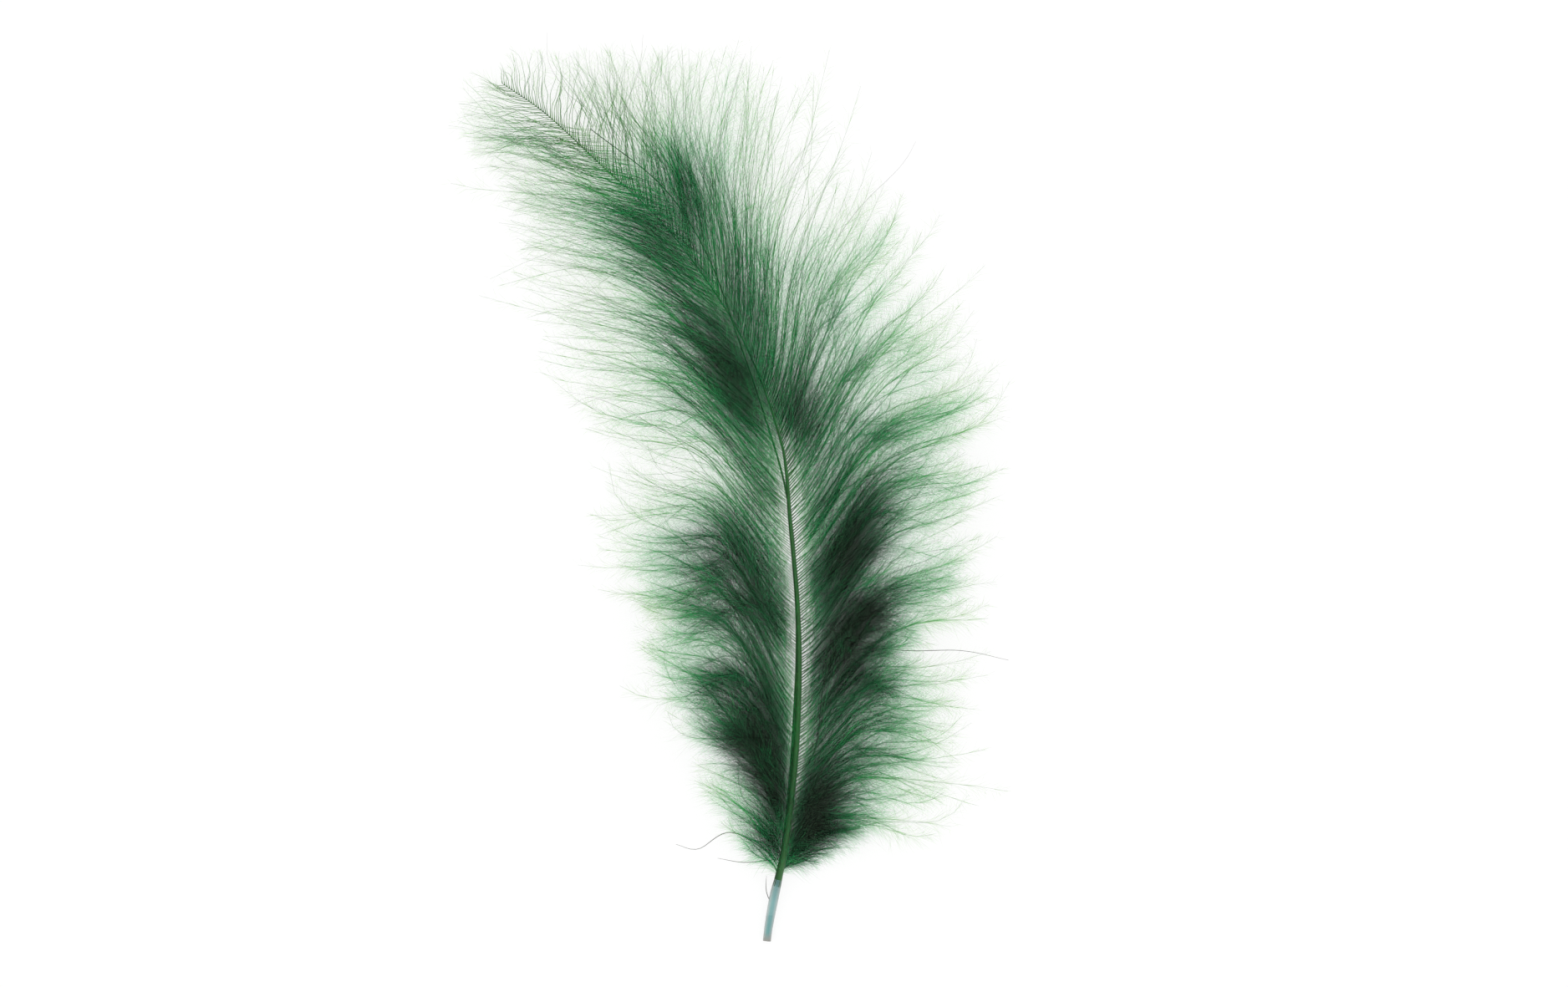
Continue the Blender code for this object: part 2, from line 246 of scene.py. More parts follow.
RIGHT_LOCKS = [
    (63.0, -35.2, 66.4, 1.8, 108), (61.4, -33.4, 68.2, 1.8, 104), (59.3, -29.8, 67.7, 1.9, 100),
    (56.5, -25.6, 67.9, 2.2, 96), (53.9, -22.0, 67.7, 3.0, 95), (49.3, -17.4, 66.9, 3.2, 95),
    (41.9, -12.6, 68.4, 3.5, 92), (37.0, -9.5, 69.5, 2.4, 88), (30.5, -3.1, 69.7, 4.0, 86),
    (25.3, 3.1, 65.6, 2.8, 80), (20.1, 10.5, 61.4, 4.6, 78), (14.9, 17.0, 57.8, 3.2, 74),
    (10.3, 22.5, 51.9, 2.8, 70), (6.4, 28.1, 44.8, 4.8, 66), (2.5, 33.4, 36.7, 3.0, 60),
    (-2.0, 36.1, 27.6, 4.6, 55), (-7.2, 40.4, 18.5, 3.0, 48), (-11.8, 41.7, 10.7, 4.6, 40),
    (-17.0, 39.8, 3.2, 3.0, 34), (-22.8, 40.4, -3.3, 4.4, 28), (-33.0, 37.8, -15.0, 3.0, 30),
    (-38.4, 36.5, -22.8, 4.8, 18), (-43.0, 38.5, -28.8, 3.0, 8), (-47.5, 39.1, -37.1, 2.6, 6),
    (-52.1, 38.5, -45.6, 4.2, 0), (-55.3, 37.6, -51.7, 2.8, -5), (-57.3, 27.4, -50.6, 2.4, 0),
    (-59.0, 21.6, -52.5, 2.0, 5), (-60.1, 17.0, -56.4, 1.6, 10),
]
# Degrees between a barb's root and the shaft, on the left and on the right, by height y
LEAVE_LEFT = ([-61, -54, -44, -30, -20, -5, 5, 15, 35, 50, 62],
              [26, 32, 44, 54, 58, 52, 38, 30, 30, 36, 44])
LEAVE_RIGHT = ([-61, -54, -44, -20, -5, 5, 15, 35, 50, 62],
               [30, 42, 58, 64, 60, 48, 36, 32, 38, 44])
# Share of its length in which a barb keeps that way
FIRST_REACH = ([-60, -50, -5, 15, 62], [0.18, 0.26, 0.26, 0.33, 0.33])
LAST_REACH = 0.4        # the same before its tip, for the way that its tip points
# Share of its length by which a barb bows up along the shaft in its middle, on the left and on the right
BOW_LEFT = ([-60, -48, -35, -20, -5, 10, 60], [0.03, 0.10, 0.18, 0.18, 0.12, 0.04, 0.0])
BOW_RIGHT = ([-60, -48, -20, 0, 15, 60], [0.04, 0.12, 0.16, 0.14, 0.05, 0.0])
BARB_POINTS = 13        # along a barb
# mm of thickness along a barb from its root, 0, to its tip, 1: the main shaft's on the left and on the
# right, and the second shaft's
LEFT_THICK = ([0, 0.05, 0.12, 0.4, 0.7, 1], [0.13, 0.13, 0.09, 0.08, 0.045, 0.02])
RIGHT_THICK = ([0, 0.05, 0.12, 0.4, 0.7, 1], [0.20, 0.18, 0.10, 0.08, 0.045, 0.02])
FINE_THICK = ([0, 0.1, 0.4, 0.7, 1], [0.04, 0.07, 0.07, 0.045, 0.02])
STRAND = 8.0            # barbs, about, that cling together in one strand
KNOT = 2.4              # barbs, about, that touch each other inside a strand
LOOSE_SHARE = 0.5       # of the barbs cling to no strand
# Share of the way to their lock's tip that loose barbs reach, and strands
LOOSE_LENGTH = (0.55, 1.14)
STRAND_LENGTH = (0.88, 1.08)
TIP_TURN = (4, 3, 16)   # degrees that the tips of strands and knots, their barbs, and loose barbs turn
STRAND_DRIFT = 0.5      # mm that a strand's tip strays from the feather's outline
KNOT_DRIFT = 0.7        # mm that the barbs of a knot stray from their strand
BARB_DRIFT = (1.9, 3.4)         # mm that a barb's tip strays, in a knot and loose
FULL_STRAY = 25         # mm of barb from which on all these hold in full
# mm, x on the left and on the right and y at the top, past which the photograph shows few tips, and the
# share of what is past them by which a tip is drawn in
TIP_LIMITS = (-42, 43, 68)
DRAWN_IN = 0.8
BARB_HEIGHTS = (0.08, 8.7)      # mm above the table between which the barbs lie


def turned(heading, angle, rise):
    """Directions that leave a heading by angles to the left, and rise."""
    heading = np.atleast_2d(heading)
    return np.column_stack([heading[:, 0] * np.cos(angle) - heading[:, 1] * np.sin(angle),
                            heading[:, 0] * np.sin(angle) + heading[:, 1] * np.cos(angle), rise])


def bent_lines(roots, first, second, tips):
    """Smooth lines from roots to tips, which leave towards the first points and arrive from the second."""
    s = np.linspace(0, 1, BARB_POINTS)[None, :, None]
    return (roots[:, None] * (1 - s) ** 3 + 3 * first[:, None] * s * (1 - s) ** 2
            + 3 * second[:, None] * s ** 2 * (1 - s) + tips[:, None] * s ** 3)


def barb_curves(route, side, locks, leaving, shift, rng):
    """The middle lines of one row of barbs, as an array of barbs by points by x, y and z, in mm."""
    locks = np.array(sorted(locks))
    roots = route[(route[:, 1] > locks[0, 0] - 0.6) & (route[:, 1] < locks[-1, 0] + 0.4)][:, :3]
    count = len(roots)
    heading = np.gradient(roots, axis=0)
    heading /= np.linalg.norm(heading, axis=1)[:, None]
    place = np.interp(roots[:, 1], locks[:, 0], np.arange(len(locks))) + shift
    strand = np.cumsum(rng.random(count) < 1 / STRAND)
    strands = strand[-1] + 1
    middle = (np.bincount(strand, place) / np.maximum(np.bincount(strand), 1))[strand]
    loose = rng.random(count) < LOOSE_SHARE
    place += (middle - place) * np.where(loose, 0.0, 0.15)
    knot = np.cumsum(rng.random(count) < 1 / KNOT)
    nudge = rng.normal(size=(knot[-1] + 1, 4))[knot]
    tips = np.column_stack([np.interp(place, np.arange(len(locks)), locks[:, k]) for k in (1, 2, 3)])
    arrive = np.interp(place, np.arange(len(locks)), locks[:, 4])
    drift = rng.normal(size=(strands, 6))[strand]
    length = np.where(loose, rng.uniform(*LOOSE_LENGTH, count),
                      rng.uniform(*STRAND_LENGTH, strands)[strand])
    length *= 1 - 0.12 * rng.random(count)
    span = np.linalg.norm(tips - roots, axis=1)[:, None]
    tips = roots + (tips - roots) * length[:, None]
    reach = np.linalg.norm(tips - roots, axis=1)[:, None]
    stray = np.minimum(reach / FULL_STRAY, 1)
    tips += drift[:, :3] * (STRAND_DRIFT, STRAND_DRIFT, 1.4) * stray
    tips += nudge[:, :3] * (KNOT_DRIFT, KNOT_DRIFT, 0.8) * stray
    gathered = tips.copy()
    own_drift = np.where(loose, BARB_DRIFT[1], BARB_DRIFT[0])[:, None]
    tips += rng.normal(size=(count, 3)) * (1, 1, 0.5) * own_drift * stray
    left, right, top = TIP_LIMITS
    tips[:, 1] -= np.maximum(tips[:, 1] - top, 0) * DRAWN_IN
    tips[:, 0] += np.maximum(left - tips[:, 0], 0) * DRAWN_IN
    tips[:, 0] -= np.maximum(tips[:, 0] - right, 0) * DRAWN_IN
    tips[:, 2] = np.clip(tips[:, 2], 0.3, 7.5)
    gathered_turn, knot_turn, loose_turn = TIP_TURN
    arrive = arrive + drift[:, 3] * gathered_turn + nudge[:, 3] * gathered_turn
    arrive = np.radians(arrive + rng.normal(size=count) * np.where(loose, loose_turn, knot_turn))
    angle = (np.radians(np.interp(roots[:, 1], *leaving)) + rng.normal(size=count) * 0.03) * side
    leave = turned(heading, angle, 0.08 * rng.normal(size=count) + 0.08 * drift[:, 4])
    end = np.column_stack([np.cos(arrive), np.sin(arrive), 0.15 * drift[:, 5]])
    first = roots + leave * span * np.interp(roots[:, 1], *FIRST_REACH)[:, None]
    second = gathered - end * reach * LAST_REACH + rng.normal(size=(count, 3)) * (0.5, 0.5, 0.6) * stray
    curves = bent_lines(roots, first, second, tips)
    s = np.linspace(0, 1, BARB_POINTS)[None]
    bow = np.interp(roots[:, 1], *(BOW_LEFT if side > 0 else BOW_RIGHT))
    bow *= 1 + 0.12 * rng.normal(size=count)
    curves += (heading * bow[:, None] * span)[:, None] * np.sin(np.pi * s[..., None]) ** 2
    toward = (tips - roots) / reach
    across = np.column_stack([-toward[:, 1], toward[:, 0], np.zeros(count)])[:, None]
    turns = rng.uniform(4, 9, (strands, 1))[strand]
    wave = np.sin(s * turns + rng.uniform(0, 6.28, (strands, 1))[strand])
    own = np.sin(s * rng.uniform(5, 14, (count, 1)) + rng.uniform(0, 6.28, (count, 1)))
    own *= np.where(loose, 1.0, 0.4)[:, None]
    curves += across * ((wave * 0.35 + own) * s * (1.3 - s) * 1.6)[..., None] * stray[:, None]
    curves[..., 2] = np.clip(curves[..., 2], *BARB_HEIGHTS)
    return curves


def threads(curves, thick):
    """Three-sided tapered threads along curves: their points and triangles, the two ends of each last."""
    count, stations = curves.shape[:2]
    ahead = np.gradient(curves, axis=1)
    ahead /= np.linalg.norm(ahead, axis=2)[..., None]
    across = np.cross(ahead, [0.0, 0.0, 1.0])
    across /= np.linalg.norm(across, axis=2)[..., None] + 1e-9
    up = np.cross(across, ahead)
    radius = np.interp(np.linspace(0, 1, stations), *thick)[None, :, None, None] / 2
    turn = np.radians([90, 210, 330])
    ring = across[:, :, None] * np.cos(turn)[:, None] + up[:, :, None] * np.sin(turn)[:, None]
    points = (curves[:, :, None] + ring * radius).reshape(-1, 3)
    base = (np.arange(count)[:, None] * stations + np.arange(stations - 1)[None]).ravel() * 3
    faces = []
    for k in range(3):
        a, b = base + k, base + (k + 1) % 3
        faces += [np.column_stack([a, b + 3, b]), np.column_stack([a, a + 3, b + 3])]
    root = np.arange(count) * stations * 3
    tip = root + (stations - 1) * 3
    faces += [np.column_stack([root, root + 1, root + 2]), np.column_stack([tip, tip + 2, tip + 1])]
    return points, np.vstack(faces)


BARBULE_LENGTH = 6.0    # mm, of a common one in the middle of a barb
BARBULE_WIDTH = 0.055   # mm where it is widest: each stands for a few real ones
BARBULES_PER_MM = 33    # of barb, before the thinning out
BARBULE_ALPHA = (0.2, 0.5)      # of the light that a barbule holds back, spread and along its barb
# Share of the barbules that lie along their barb, from its root to its tip, and of these that stay
CLOSE_SHARE = ([0, 0.1, 0.25, 0.5, 1], [0.15, 0.3, 0.5, 0.4, 0.25])
CLOSE_KEPT = 0.35
COMMON_KEPT = 0.42      # share of the barbules that stay where the down is of common fullness
THICKEST = 2.2          # times its width that a barbule has where the down is fullest
# Degrees between a barbule and its barb, along it and spread: how they are spread around shape times scale
CLOSE_LEAN = (2, 2.5)
SPREAD_LEAN = (5, 8)
# mm of bare barb at the shaft, on the left and on the right, by height y
BARE_LEFT = ([-60, -52, -44, -35, -5, 4, 9, 60], [0.1, 0.2, 0.5, 0.9, 0.8, 0.3, 0.0, 0.0])
BARE_RIGHT = ([-60, -52, -40, -5, 4, 9, 60], [0.1, 0.2, 0.3, 0.3, 0.1, 0.0, 0.0])
SETS_IN = (0.5, 1.4)    # mm of barb in which the down then grows full, on the left and on the right
# How full the down is along a barb
ALONG_BARB = ([0, 0.4, 0.7, 0.9, 1], [0.8, 0.85, 0.85, 0.65, 0.15])
# How much more there is close to the shaft, by height y, and the mm of barb in which that fades
AT_ROOT = ([-5, 12], [0.2, 1.8])
AT_ROOT_FADE = 1.8
# Where the down lies thick or thin: x and y of the middle, half-widths, turn of the second one from +Y
# to -X in degrees, and the power of e by which there is more or less
FULLNESS = [
    (-30.0, 60.0, 9.0, 7.0, 0, -2.2), (-12.0, 58.0, 9.0, 7.0, 0, -2.1), (-25.0, 46.0, 8.0, 8.0, 0, -1.1),
    (-22.0, 34.0, 7.0, 8.0, 0, -1.2), (-14.0, 24.0, 7.0, 8.0, 0, -1.2), (-12.0, 10.0, 8.0, 8.0, 0, -0.4),
    (-11.6, 42.8, 3.5, 8.0, 40, 0.5), (-5.0, 28.5, 4.0, 9.0, 28, 0.1), (3.0, 15.0, 3.5, 8.0, 18, 0.7),
    (8.0, 22.0, 4.0, 8.0, 20, -0.4), (2.0, 42.0, 5.0, 9.0, 10, -0.5), (10.0, 47.0, 6.0, 9.0, 0, -2.2),
    (16.0, 34.0, 6.0, 9.0, -10, -0.1), (20.0, 20.0, 6.0, 8.0, -20, -0.2), (28.0, 10.0, 6.0, 8.0, 0, 0.5),
    (13.0, 12.0, 3.0, 7.0, -8, 0.8), (19.0, -8.0, 5.0, 9.0, -10, 1.3), (27.0, -4.0, 5.0, 8.0, -20, -0.8),
    (32.0, -16.0, 6.0, 8.0, 0, 0.3), (19.5, -27.0, 6.0, 7.0, -20, 1.1), (28.0, -27.0, 5.0, 6.0, 0, -0.1),
    (32.0, -38.0, 7.0, 6.0, 0, -0.2), (24.0, -40.0, 6.0, 6.0, 0, 0.7), (14.5, -49.0, 4.5, 7.0, -25, 1.0),
    (10.0, -57.0, 5.0, 4.0, 0, 1.7), (26.0, -52.0, 6.0, 5.0, 0, -0.6), (-6.4, 1.2, 6.0, 5.0, 0, -1.8),
    (1.2, -10.0, 5.0, 6.0, 30, 0.6), (-9.0, -12.0, 5.0, 6.0, 0, 0.6), (4.4, -38.0, 4.0, 11.0, 20, 1.2),
    (-4.0, -30.0, 5.0, 6.0, 20, 0.2), (3.0, -22.0, 4.0, 5.0, 0, 0.1), (3.0, -52.0, 4.0, 5.0, 0, 0.2),
]


def fullness(points):
    """How full the down is at points of the feather, 1 away from the places listed."""
    gain = np.zeros(len(points))
    for x, y, wide, long, turn, more in FULLNESS:
        c, s = np.cos(np.radians(turn)), np.sin(np.radians(turn))
        dx, dy = points[:, 0] - x, points[:, 1] - y
        gain += more * np.exp(-0.5 * (((dx * c + dy * s) / wide) ** 2 + ((dy * c - dx * s) / long) ** 2))
    return np.exp(gain)


def barbules(curves, rng, bare, sets_in, gain):
    """The pointed slivers on both sides of barbs, three points for each.

    Also says which barb each is on, and whether it lies along it.
    """
    lengths = np.linalg.norm(np.diff(curves, axis=1), axis=2).sum(1)
    owner = np.repeat(np.arange(len(curves)), np.maximum(1, (lengths * BARBULES_PER_MM * 2)).astype(int))
    s = rng.random(len(owner))
    spot = s * (BARB_POINTS - 1)
    low = np.minimum(spot.astype(int), BARB_POINTS - 2)
    share = (spot - low)[:, None]
    base = curves[owner, low] * (1 - share) + curves[owner, low + 1] * share
    out = s * lengths[owner]
    full = gain * fullness(base) * np.interp(s, *ALONG_BARB)
    single = rng.lognormal(-0.04, 0.28, len(curves))
    threes = np.repeat(rng.lognormal(-0.02, 0.2, len(curves) // 3 + 1), 3)[:len(curves)]
    full *= (single * threes)[owner]
    full *= np.clip((out - bare[owner]) / (0.3 + sets_in * (bare[owner] > 0)), 0, 1)
    full *= 1 + np.interp(base[:, 1], *AT_ROOT) * np.exp(-out / AT_ROOT_FADE)
    close = rng.random(len(owner)) < np.interp(s, *CLOSE_SHARE)
    full *= COMMON_KEPT
    keep = rng.random(len(owner)) < np.clip(full, 0, 1) * np.where(close, CLOSE_KEPT, 1)
    owner, s, base, low, out, close = owner[keep], s[keep], base[keep], low[keep], out[keep], close[keep]
    thick = np.clip(full[keep], 1, THICKEST)    # where the down is fullest each stands for more real ones
    count = len(owner)
    ahead = curves[owner, low + 1] - curves[owner, low]
    ahead /= np.linalg.norm(ahead, axis=1)[:, None]
    across = np.cross(ahead, [0.0, 0.0, 1.0])
    across /= np.linalg.norm(across, axis=1)[:, None] + 1e-9
    up = np.cross(across, ahead)
    way = np.where(rng.random(count) < 0.5, 0.0, np.pi) + rng.normal(size=count) * 0.6
    lean = np.where(close, rng.gamma(*CLOSE_LEAN, count), rng.gamma(*SPREAD_LEAN, count))
    lean = np.radians(lean.clip(1, 80))[:, None]
    sideways = across * np.cos(way)[:, None] + up * np.sin(way)[:, None]
    direction = ahead * np.cos(lean) + sideways * np.sin(lean)
    size = BARBULE_LENGTH * np.clip((out + 0.8) / 2.5, 0.35, 1)
    size *= np.interp(s, [0, 0.5, 0.85, 1], [1, 1, 0.7, 0.3])
    size *= rng.uniform(0.5, 1.15, count) * np.minimum(lengths[owner] / 20, 1) ** 0.6
    flat = np.cross(direction, rng.normal(size=(count, 3)))
    flat /= np.linalg.norm(flat, axis=1)[:, None]
    widest = base + direction * (size * np.where(close, 0.1, rng.uniform(0.2, 0.7, count)))[:, None]
    widest = widest + flat * (BARBULE_WIDTH * thick)[:, None]
    points = np.stack([base, widest, base + direction * size[:, None]], axis=1)
    points[..., 2] = np.clip(points[..., 2], 0.03, 8.9)
    return points, owner, close


# The barbs' bare roots are grey-green; further out, their colour goes from green to near black with the
# depth of down around them, as the barbules' does: painted light where the down is thin, painted shade
# where it is deep
depth_shaded_barb = banded("depth_shaded_barb", "depth", [
    (0.0, (0.05, 0.16, 0.05)), (0.04, (0.12, 0.29, 0.10)), (0.2, (0.050, 0.16, 0.060)),
    (0.4, (0.022, 0.085, 0.034)), (0.6, (0.014, 0.045, 0.022)), (0.8, (0.011, 0.028, 0.015)),
    (1.0, (0.009, 0.018, 0.011))], 0.7)
# Barbule colours by depth: pale green painted light where the down is thin, near-black painted shade where
# it is deep.
BARBULE_DEPTH_SHADES = [
    (0.0, (0.24, 0.54, 0.05)), (0.1, (0.06, 0.53, 0.10)), (0.2, (0.022, 0.46, 0.10)),
    (0.4, (0.015, 0.29, 0.09)), (0.6, (0.023, 0.15, 0.060)), (0.8, (0.027, 0.080, 0.042)),
    (1.0, (0.020, 0.036, 0.021))]
spread_barbule = banded("spread_barbule", "depth", BARBULE_DEPTH_SHADES, 0.7, BARBULE_ALPHA[0])
close_barbule = banded("close_barbule", "depth", BARBULE_DEPTH_SHADES, 0.7, BARBULE_ALPHA[1])

rng = np.random.default_rng(11)
whole_route = smooth_route(SHAFT_ROWS, BARB_SPACING)
second_route = smooth_route(SECOND_ROWS, BARB_SPACING)
# Each is a name, its barbs' curves and thickness, and its barbules' points, their barb, and whether they
# lie along it
locks_of_down = []
for vane, route, side, locks, leaving, shift, thick in (
        ("main_left", whole_route, 1, LEFT_LOCKS, LEAVE_LEFT, 0.0, LEFT_THICK),
        ("main_right", whole_route, -1, RIGHT_LOCKS, LEAVE_RIGHT, 0.0, RIGHT_THICK),
        ("second_left", second_route, 1, LEFT_LOCKS[2:], LEAVE_LEFT, 0.5, FINE_THICK),
        ("second_right", second_route, -1, RIGHT_LOCKS[2:], LEAVE_RIGHT, 0.5, FINE_THICK)):
    curves = barb_curves(route, side, locks, leaving, shift, rng)
    if thick is FINE_THICK:     # few of its barbs grow in the lower half, so that the comb stays open there
        curves = curves[rng.random(len(curves)) < np.interp(curves[:, 0, 1], [-2, 10], [0.25, 1])]
    bare = np.interp(curves[:, 0, 1], *(BARE_LEFT if side > 0 else BARE_RIGHT))
    third = len(curves) // 3
    parts = (slice(0, third), slice(third, 2 * third), slice(2 * third, None))
    for part, chosen in zip(("low", "middle", "high"), parts):
        locks_of_down.append((f"{vane}_{part}_down", curves[chosen], thick,
                              *barbules(curves[chosen], rng, bare[chosen], SETS_IN[side < 0], 1.0)))

# Tufts beside the shaft
# Seven locks are shorter. They grow from the main shaft as the others do, curl up over them, and make dark
# patches beside the shaft.

# Height y on the main shaft where the tuft grows, mm of shaft that it grows from, side, its tip, and the
# way its tip points
TUFTS = [
    (-24.0, 9.0, 1, -0.5, -4.0, 7.4, 100), (-22.0, 8.0, 1, -7.2, -10.0, 8.3, 125),
    (-44.0, 12.0, 1, -4.6, -30.0, 6.9, 110), (-20.0, 9.0, -1, 33.9, 6.0, 7.5, 40),
    (-40.0, 12.0, -1, 25.0, -22.0, 8.3, 50), (-52.0, 9.0, -1, 24.0, -43.0, 7.1, 30),
    (5.0, 8.0, -1, 15.6, 22.0, 7.7, 88),
]
TUFT_THICK = ([0, 0.15, 0.3, 1], [0.04, 0.05, 0.06, 0.03])      # mm, along a barb
TUFT_FAN = 4.5          # mm that the outer barbs' tips stand off the tuft's middle
TUFT_BARE = 2.0         # mm of bare barb at the shaft, and mm in which the down then grows full
TUFT_FULL = 0.35        # how full its down is beside the rest


def tuft_curves(route, height, span, side, x, y, z, points_to, rng):
    """Middle lines of the barbs of one tuft, which draw together towards its tip."""
    roots = route[np.abs(route[:, 1] - height) < span / 2][:, :3]
    count = len(roots)
    share = np.linspace(-1, 1, count)[:, None]
    toward = np.array([x, y, z]) - roots.mean(0)
    across = np.array([-toward[1], toward[0], 0]) / np.linalg.norm(toward)
    tips = np.array([x, y, z]) + across * share * side * TUFT_FAN
    tips = tips + rng.normal(size=(count, 3)) * (3.0, 3.0, 0.8)
    tips = roots + (tips - roots) * rng.uniform(0.5, 1.1, (count, 1))
    heading = np.gradient(route[:, :3], axis=0)[np.argmin(np.abs(route[:, 1] - height))]
    heading /= np.linalg.norm(heading)
    angle = (np.radians(np.interp(height, *(LEAVE_LEFT if side > 0 else LEAVE_RIGHT)))
             + rng.normal(size=count) * 0.15) * side
    leave = turned(heading, angle, 0.3 + 0.1 * rng.normal(size=count))
    reach = np.linalg.norm(tips - roots, axis=1)[:, None]
    arrive = np.radians(points_to + rng.normal(size=count) * 10)
    end = np.column_stack([np.cos(arrive), np.sin(arrive), 0.1 * rng.normal(size=count)])
    curves = bent_lines(roots, roots + leave * reach * 0.3, tips - end * reach * LAST_REACH, tips)
    curves[..., 2] = np.clip(curves[..., 2], *BARB_HEIGHTS)
    return curves


for number, tuft in enumerate(TUFTS):
    curves = tuft_curves(whole_route, *tuft, rng)
    bare = np.full(len(curves), TUFT_BARE)
    locks_of_down.append((f"tuft_{number + 1}", curves, TUFT_THICK,
                          *barbules(curves, rng, bare, TUFT_BARE, TUFT_FULL)))

# The down as meshes
# Each part of the down becomes one mesh of barbs and barbules. Where much down lies one over the other it
# looks near black, and single barbules look pale green, so each keeps how deep the down is around it. Its
# colour is painted from that depth: painted shade where the down is deep, painted light shining through
# where it is thin.

CELL = 1.3              # mm, side of the squares in which the depth of the down is added up
MAP_LOW = (-48, -76)    # mm, x and y of the corner where the squares start
MAP_HIGH = (50, 76)     # and of the opposite one
FACING = 0.7            # share of a barbule's area that faces up, on average
DEEPEST = 6.5           # depth at which the down looks black; at a depth of 1, a third of the light is left
all_points = np.concatenate([lock[3] for lock in locks_of_down])
all_close = np.concatenate([lock[5] for lock in locks_of_down])
middles = all_points[:, :, :2].mean(1)
edges = [np.arange(low, high, CELL) for low, high in zip(MAP_LOW, MAP_HIGH)]
corners = all_points[:, 1:] - all_points[:, :1]
areas = np.linalg.norm(np.cross(corners[:, 0], corners[:, 1]), axis=1) / 2
areas *= -np.log(1 - np.take(BARBULE_ALPHA, all_close.astype(int))) * FACING / CELL ** 2
depth_map = np.histogram2d(middles[:, 0], middles[:, 1], bins=edges, weights=areas)[0]
for k in range(2):      # each square takes on some of what lies beside it, so that the depth changes softly
    padded = np.pad(depth_map, 1, mode="edge")
    beside = padded[:-2, 1:-1] + padded[2:, 1:-1] + padded[1:-1, :-2] + padded[1:-1, 2:]
    depth_map = (beside + 2 * depth_map) / 6


def down_depth(points):
    """How deep the down lies at points, smooth from square to square."""
    gx = np.clip((points[:, 0] - MAP_LOW[0]) / CELL - 0.5, 0, depth_map.shape[0] - 1.001)
    gy = np.clip((points[:, 1] - MAP_LOW[1]) / CELL - 0.5, 0, depth_map.shape[1] - 1.001)
    i, j = gx.astype(int), gy.astype(int)
    u, v = gx - i, gy - j
    return ((1 - u) * (1 - v) * depth_map[i, j] + u * (1 - v) * depth_map[i + 1, j]
            + (1 - u) * v * depth_map[i, j + 1] + u * v * depth_map[i + 1, j + 1])


for name, curves, thick, slivers, owner, close in locks_of_down:
    lines, line_faces = threads(curves, thick)
    points = np.vstack([lines, slivers.reshape(-1, 3)])
    faces = np.vstack([line_faces, np.arange(3 * len(slivers)).reshape(-1, 3) + len(lines)])
    data = bpy.data.meshes.new(name)
    data.vertices.add(len(points))
    data.vertices.foreach_set("co", (points * MM).astype(np.float32).ravel())
    data.loops.add(faces.size)
    data.loops.foreach_set("vertex_index", faces.astype(np.int32).ravel())
    data.polygons.add(len(faces))
    data.polygons.foreach_set("loop_start", np.arange(0, faces.size, 3, dtype=np.int32))
    slots = np.append(np.zeros(len(line_faces)), 1 + close)
    data.polygons.foreach_set("material_index", slots.astype(np.int32))
    # Each face keeps the depth of down around it. From that, its material paints shade where the down is
    # deep and light where it is thin, and the tone makes each barb's painted shade a little darker or paler
    # at random.
    tone = rng.lognormal(-0.05, 0.45, len(curves))      # each barb takes the dye a little differently
    deep = down_depth(slivers.mean(1)) / DEEPEST
    deep = np.clip(deep * tone[owner] * rng.lognormal(-0.02, 0.25, len(deep)), 0, 1)
    stretch = (curves[:, 1:] + curves[:, :-1]).reshape(-1, 3) / 2
    line_deep = np.clip(down_depth(stretch) / DEEPEST * np.repeat(tone, BARB_POINTS - 1), 0.04, 1)
    line_deep[::BARB_POINTS - 1] *= curves[:, 0, 1] > 5     # the comb's bare roots are pale below there
    data.attributes.new("depth", "FLOAT", "FACE").data.foreach_set(
        "value", np.concatenate([np.tile(line_deep, 6), *line_deep.reshape(len(curves), -1)[:, [0, -1]].T,
                                 deep]).astype(np.float32))
    data.materials.append(depth_shaded_barb)
    data.materials.append(spread_barbule)
    data.materials.append(close_barbule)
    data.update()
    data.validate()
    piece = bpy.data.objects.new(name, data)
    bpy.context.collection.objects.link(piece)
    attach(piece, "root")
    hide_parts("feather")

# Loose strands
# Single barbs stand clear of the locks: long ones that cross them or reach past the outline, and curled
# ones at the quill. They took less of the green and are brown.

# Points (x, y, z) along each strand, in mm, and how thick it is at its root
STRANDS = [
    ([(11.0, -20.0, 4.0), (24.8, -24.8, 4.0), (36.5, -25.2, 3.5), (43.9, -26.7, 3.0)], 0.14),
    ([(9.2, -58.6, 1.6), (1.0, -53.6, 2.0), (-4.4, -56.2, 1.6), (-7.9, -55.5, 1.0)], 0.16),
    ([(9.0, -57.9, 1.8), (6.6, -57.9, 1.9), (2.7, -58.3, 1.4), (-1.4, -57.7, 0.8)], 0.14),
    ([(-13.0, 44.0, 4.0), (-16.0, 56.0, 4.6), (-13.5, 65.0, 4.6), (-12.9, 70.5, 4.4)], 0.05),
    ([(-3.0, 38.0, 4.0), (-1.5, 52.0, 4.6), (0.6, 60.0, 4.6), (3.0, 67.5, 4.4)], 0.06),
    ([(-20.0, 50.0, 3.0), (-24.0, 60.0, 3.6), (-27.5, 66.0, 3.6), (-27.9, 71.0, 3.4)], 0.05),
    ([(6.0, 18.0, 3.0), (18.0, 40.0, 3.6), (27.0, 50.0, 3.2), (29.5, 54.0, 3.0)], 0.07),
    ([(9.5, -2.0, 3.0), (-8.0, 8.0, 3.6), (-20.0, 14.0, 3.2), (-24.5, 12.5, 3.0)], 0.07),
    ([(6.85, -64.4, 1.3), (6.3, -63.2, 1.4), (6.15, -61.8, 1.4), (6.25, -60.4, 1.3)], 0.13),
]
STRAND_STEP = 0.8       # mm between two points of a strand
BROWNS = ((0.03, 0.035, 0.022), (0.09, 0.085, 0.06))    # that a soft noise mottles them with

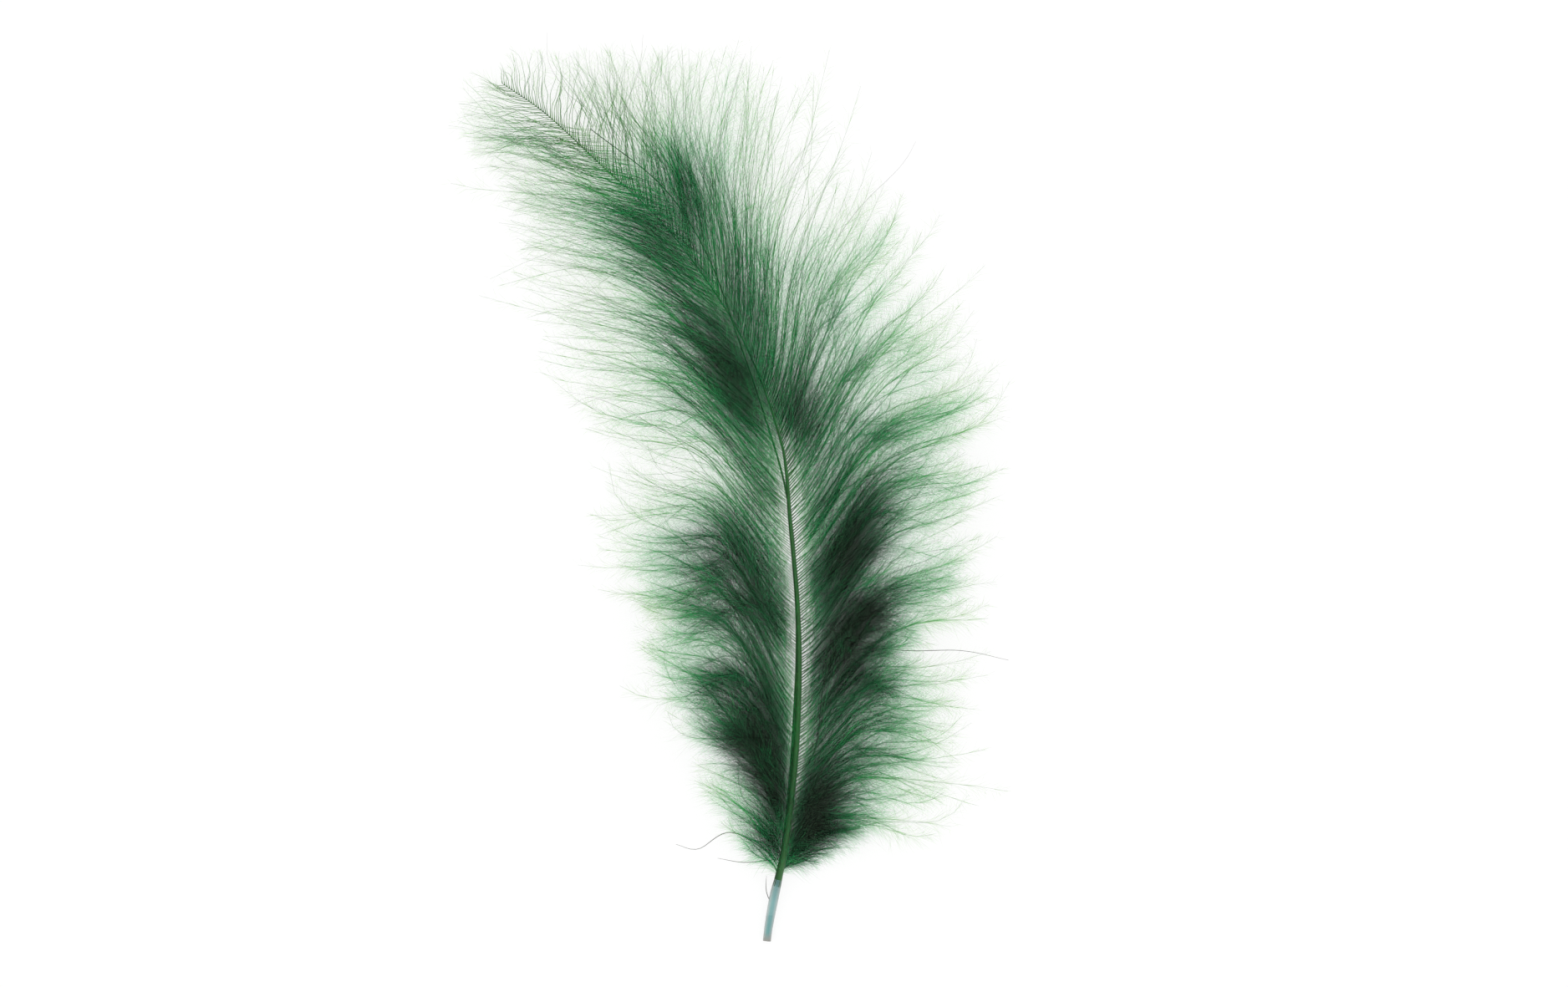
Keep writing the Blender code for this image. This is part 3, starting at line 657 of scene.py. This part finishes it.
brown_barb = plain_finish("brown_barb", BROWNS[0], 0.6)
nodes, links = brown_barb.node_tree.nodes, brown_barb.node_tree.links
place = nodes.new("ShaderNodeTexCoord")
noise = nodes.new("ShaderNodeTexNoise")
noise.inputs["Scale"].default_value = 300
noise.inputs["Detail"].default_value = 1
ramp = nodes.new("ShaderNodeValToRGB")
for element, position, brown in zip(ramp.color_ramp.elements, (0.3, 0.7), BROWNS):
    element.position = position
    element.color = (*brown, 1)
links.new(place.outputs["Object"], noise.inputs["Vector"])
links.new(noise.outputs["Fac"], ramp.inputs["Fac"])
links.new(ramp.outputs["Color"], nodes["Principled BSDF"].inputs["Base Color"])
for number, (rows, thick) in enumerate(STRANDS):
    route = smooth_route([(*row, 0) for row in rows], STRAND_STEP)[:, :3]
    lines, faces = threads(route[None], ([0, 0.1, 0.6, 1.0], [thick, thick, thick * 0.8, thick * 0.3]))
    data = bpy.data.meshes.new(f"strand_{number + 1}")
    data.from_pydata((lines * MM).tolist(), [], faces.tolist())
    data.materials.append(brown_barb)
    strand = bpy.data.objects.new(f"strand_{number + 1}", data)
    bpy.context.collection.objects.link(strand)
    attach(strand, "root")
    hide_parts("feather")

# Floor, light and camera
# A level white light table, soft light from all round, and the camera straight above.

bpy.ops.object.select_all(action="DESELECT")
bpy.ops.mesh.primitive_circle_add(vertices=64, radius=1.6, fill_type="NGON", location=(0, 0, -0.2 * MM))
floor = bpy.context.active_object
floor.name = "floor"
bpy.ops.object.transform_apply(location=True, rotation=True, scale=True)
paper = plain_finish("light_table", (0.2, 0.2, 0.2), 0.9)
glow = paper.node_tree.nodes["Principled BSDF"]
glow.inputs["Emission Color"].default_value = (1, 1, 1, 1)
glow.inputs["Emission Strength"].default_value = 0.79
paper.cycles.emission_sampling = "NONE"
floor.data.materials.append(paper)

sky = bpy.data.worlds.new("studio")
sky.use_nodes = True
sky.node_tree.nodes["Background"].inputs["Color"].default_value = (1, 1, 1, 1)
sky.node_tree.nodes["Background"].inputs["Strength"].default_value = 1.1
bpy.context.scene.world = sky

# The photograph is 1876 pixels wide at 0.13 mm a pixel, and its middle is at this point of the table
VIEW_WIDTH = 1876 * 0.13
VIEW_MIDDLE = (8.97, -0.78)
SIZE_HEIGHT = 3         # mm above the table at which things show at that size
lens = bpy.data.cameras.new("camera")
lens.lens = 100
lens.sensor_width = 36
camera = bpy.data.objects.new("camera", lens)
bpy.context.collection.objects.link(camera)
height = VIEW_WIDTH / lens.sensor_width * lens.lens + SIZE_HEIGHT
camera.location = (VIEW_MIDDLE[0] * MM, VIEW_MIDDLE[1] * MM, height * MM)
bpy.context.scene.camera = camera
bpy.context.scene.view_settings.view_transform = "Standard"
bpy.context.scene.cycles.max_bounces = 3
bpy.context.scene.cycles.diffuse_bounces = 1
bpy.context.scene.cycles.transparent_max_bounces = 96
